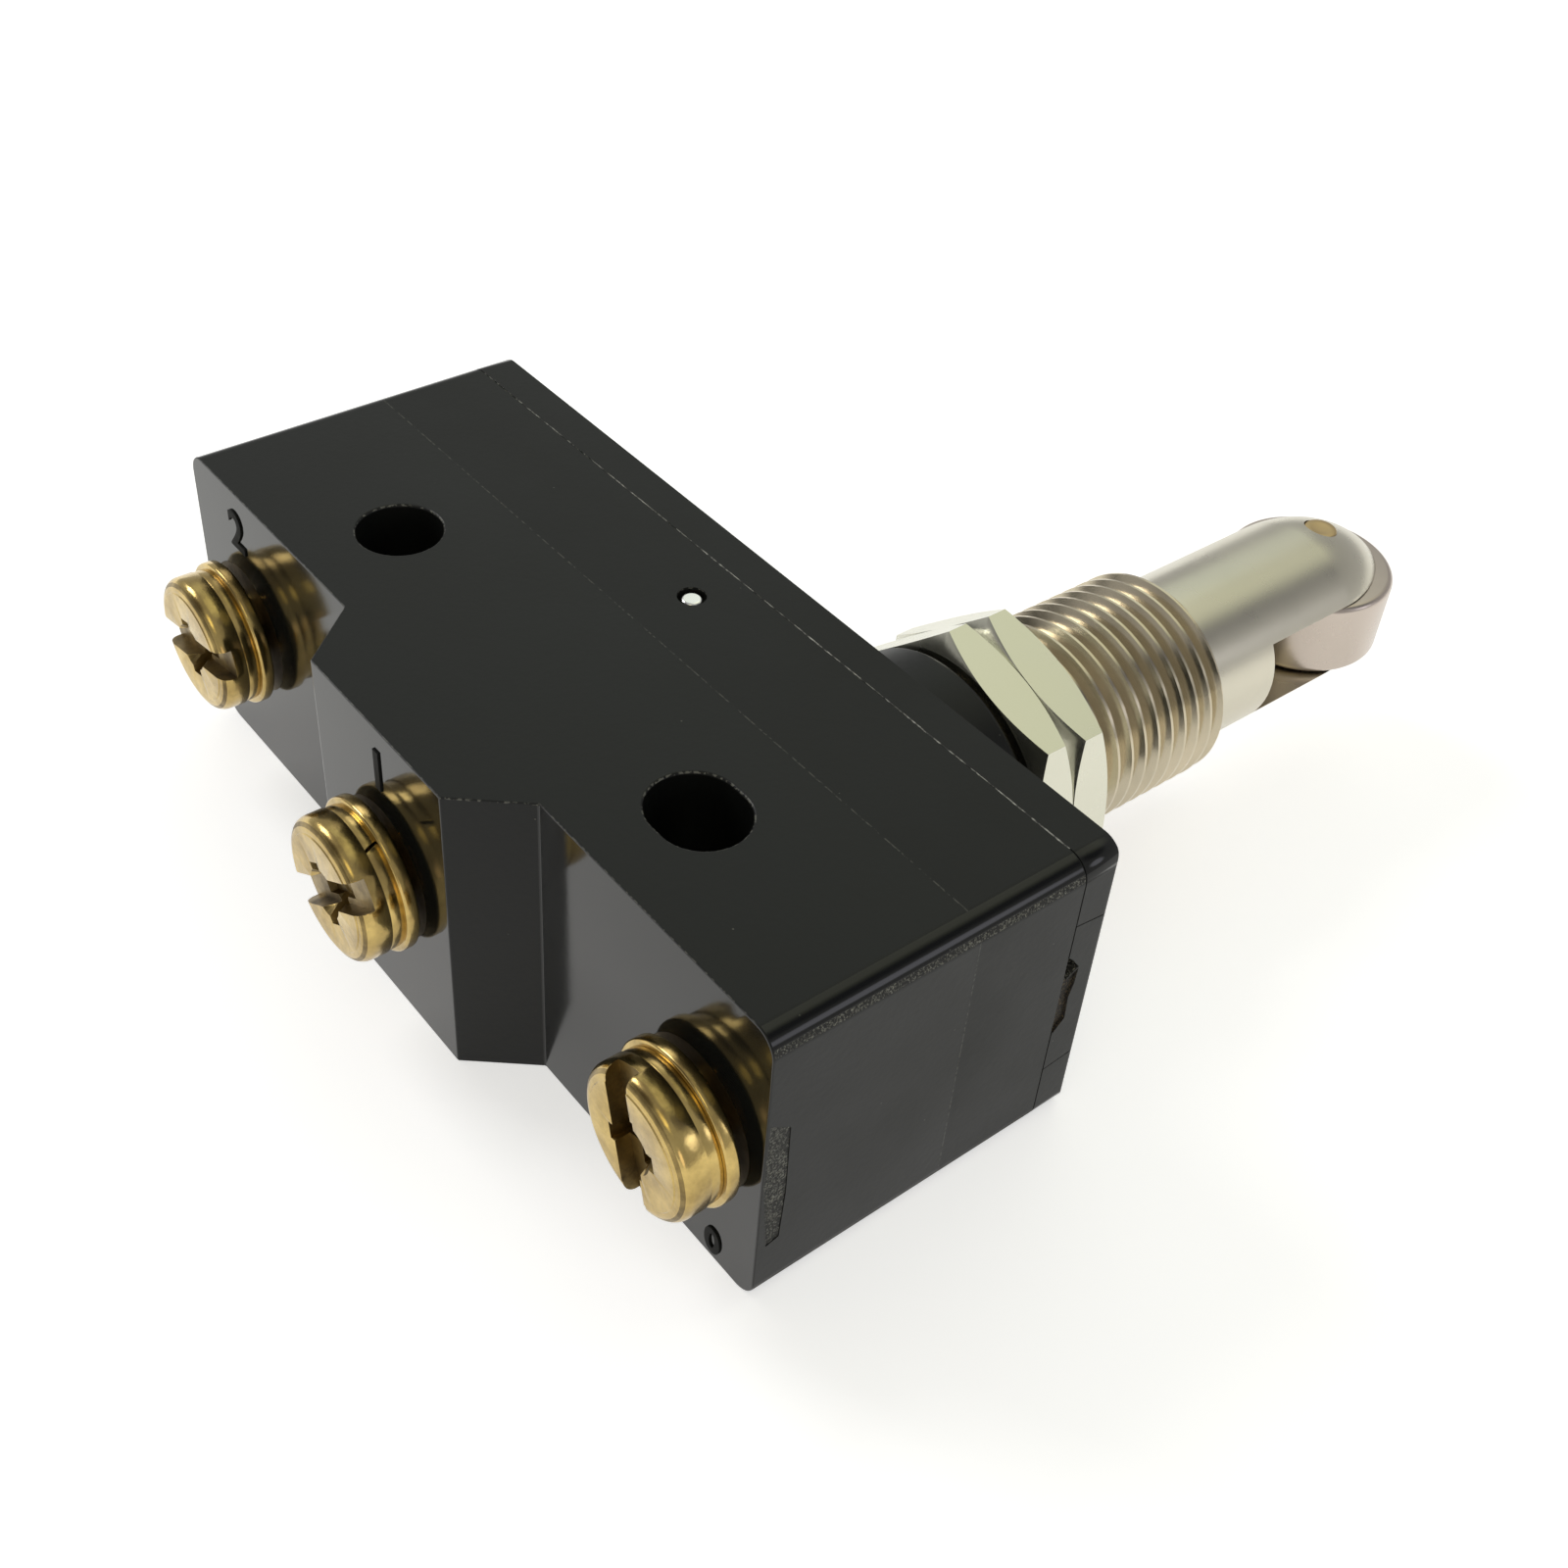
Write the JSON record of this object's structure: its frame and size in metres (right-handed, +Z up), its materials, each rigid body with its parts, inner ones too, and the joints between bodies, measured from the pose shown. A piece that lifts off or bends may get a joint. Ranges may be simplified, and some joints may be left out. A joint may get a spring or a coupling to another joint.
{
  "type": "roller plunger micro switch",
  "caption": "Snap-action limit switch in a black moulded case, with a threaded bushing, hex nuts, a cross-roller plunger and screw terminals.",
  "frame": {"origin": "midway between the mounting holes, on the large side face that the switch lies on", "axes": "+X along the case towards the bushing's end, +Y along the plunger towards the roller, +Z up through the case's thickness"},
  "size_m": [0.05, 0.0633, 0.0174],
  "materials": {
    "phenolic": "satin black phenolic moulding",
    "pin_steel": "bright drawn steel",
    "plated_thread": "nickel plate on a rolled thread",
    "plated_nut": "pale satin nickel plate",
    "plunger_steel": "polished turned steel",
    "roller_steel": "ground steel",
    "axle_bronze": "drawn bronze pin",
    "spring_steel": "drawn wire",
    "pin_moulding": "moulded",
    "blade_bronze": "rolled spring bronze",
    "contact_silver": "silver",
    "terminal_brass": "turned and stamped brass",
    "screw_brass": "polished brass"
  },
  "bodies": {
    "housing": {"case": "phenolic", "cover": "phenolic", "cover_pin": "pin_steel", "threaded_bushing": "plated_thread", "blade_anchor": "terminal_brass", "blade_rivet": "terminal_brass", "common_terminal": "terminal_brass", "normally_open_terminal": "terminal_brass", "normally_closed_terminal": "terminal_brass", "normally_open_contact": "contact_silver", "normally_closed_contact": "contact_silver"},
    "plunger": {"roller_plunger": "plunger_steel", "roller_axle": "axle_bronze", "overtravel_spring": "spring_steel"},
    "roller": {"roller": "roller_steel"},
    "pin": {"pin_plunger": "pin_moulding", "spring_seat": "pin_steel"},
    "blade": {"snap_blade": "blade_bronze", "moving_contact": "contact_silver"},
    "inner_nut": {"inner_nut": "plated_nut"},
    "outer_nut": {"outer_nut": "plated_nut"},
    "common_screw": {"common_terminal_screw": "screw_brass", "common_terminal_washer": "screw_brass", "common_terminal_lock_washer": "screw_brass"},
    "normally_open_screw": {"normally_open_terminal_screw": "screw_brass", "normally_open_terminal_washer": "screw_brass", "normally_open_terminal_lock_washer": "screw_brass"},
    "normally_closed_screw": {"normally_closed_terminal_screw": "screw_brass", "normally_closed_terminal_washer": "screw_brass", "normally_closed_terminal_lock_washer": "screw_brass"}
  },
  "joints": [
    {"name": "plunger_slide", "type": "slide", "parent": "housing", "child": "plunger", "axis": [0, -1, 0], "range_m": [0, 0.004], "stiffness_N_per_m": 600, "springref_m": -0.003, "deforming": ["overtravel_spring"]},
    {"name": "roller_spin", "type": "hinge", "parent": "plunger", "child": "roller", "pos_m": [0.0101, 0.0465, 0.00873], "axis": [0, 0, 1], "continuous": true},
    {"name": "pin_slide", "type": "slide", "parent": "housing", "child": "pin", "axis": [0, -1, 0], "range_m": [0, 0.0004]},
    {"name": "blade_pivot", "type": "hinge", "parent": "housing", "child": "blade", "pos_m": [-0.0143, 0.00813, 0.00873], "axis": [0, 0, -1], "range_deg": [0, 0.92]},
    {"name": "inner_nut_slide", "type": "slide", "parent": "housing", "child": "inner_nut", "axis": [0, -1, 0], "range_m": [0, 0.0003]},
    {"name": "outer_nut_slide", "type": "slide", "parent": "housing", "child": "outer_nut", "axis": [0, 1, 0], "range_m": [0, 0.009]},
    {"name": "common_screw_slide", "type": "slide", "parent": "housing", "child": "common_screw", "axis": [0, -1, 0], "range_m": [0, 0.003]},
    {"name": "normally_open_screw_slide", "type": "slide", "parent": "housing", "child": "normally_open_screw", "axis": [0, -1, 0], "range_m": [0, 0.003]},
    {"name": "normally_closed_screw_slide", "type": "slide", "parent": "housing", "child": "normally_closed_screw", "axis": [0, -1, 0], "range_m": [0, 0.003]}
  ],
  "couplings": [
    {"joint": "pin_slide", "follows": "plunger_slide", "ratio": 0.1},
    {"joint": "blade_pivot", "follows": "plunger_slide", "rad_per_m": 4}
  ]
}
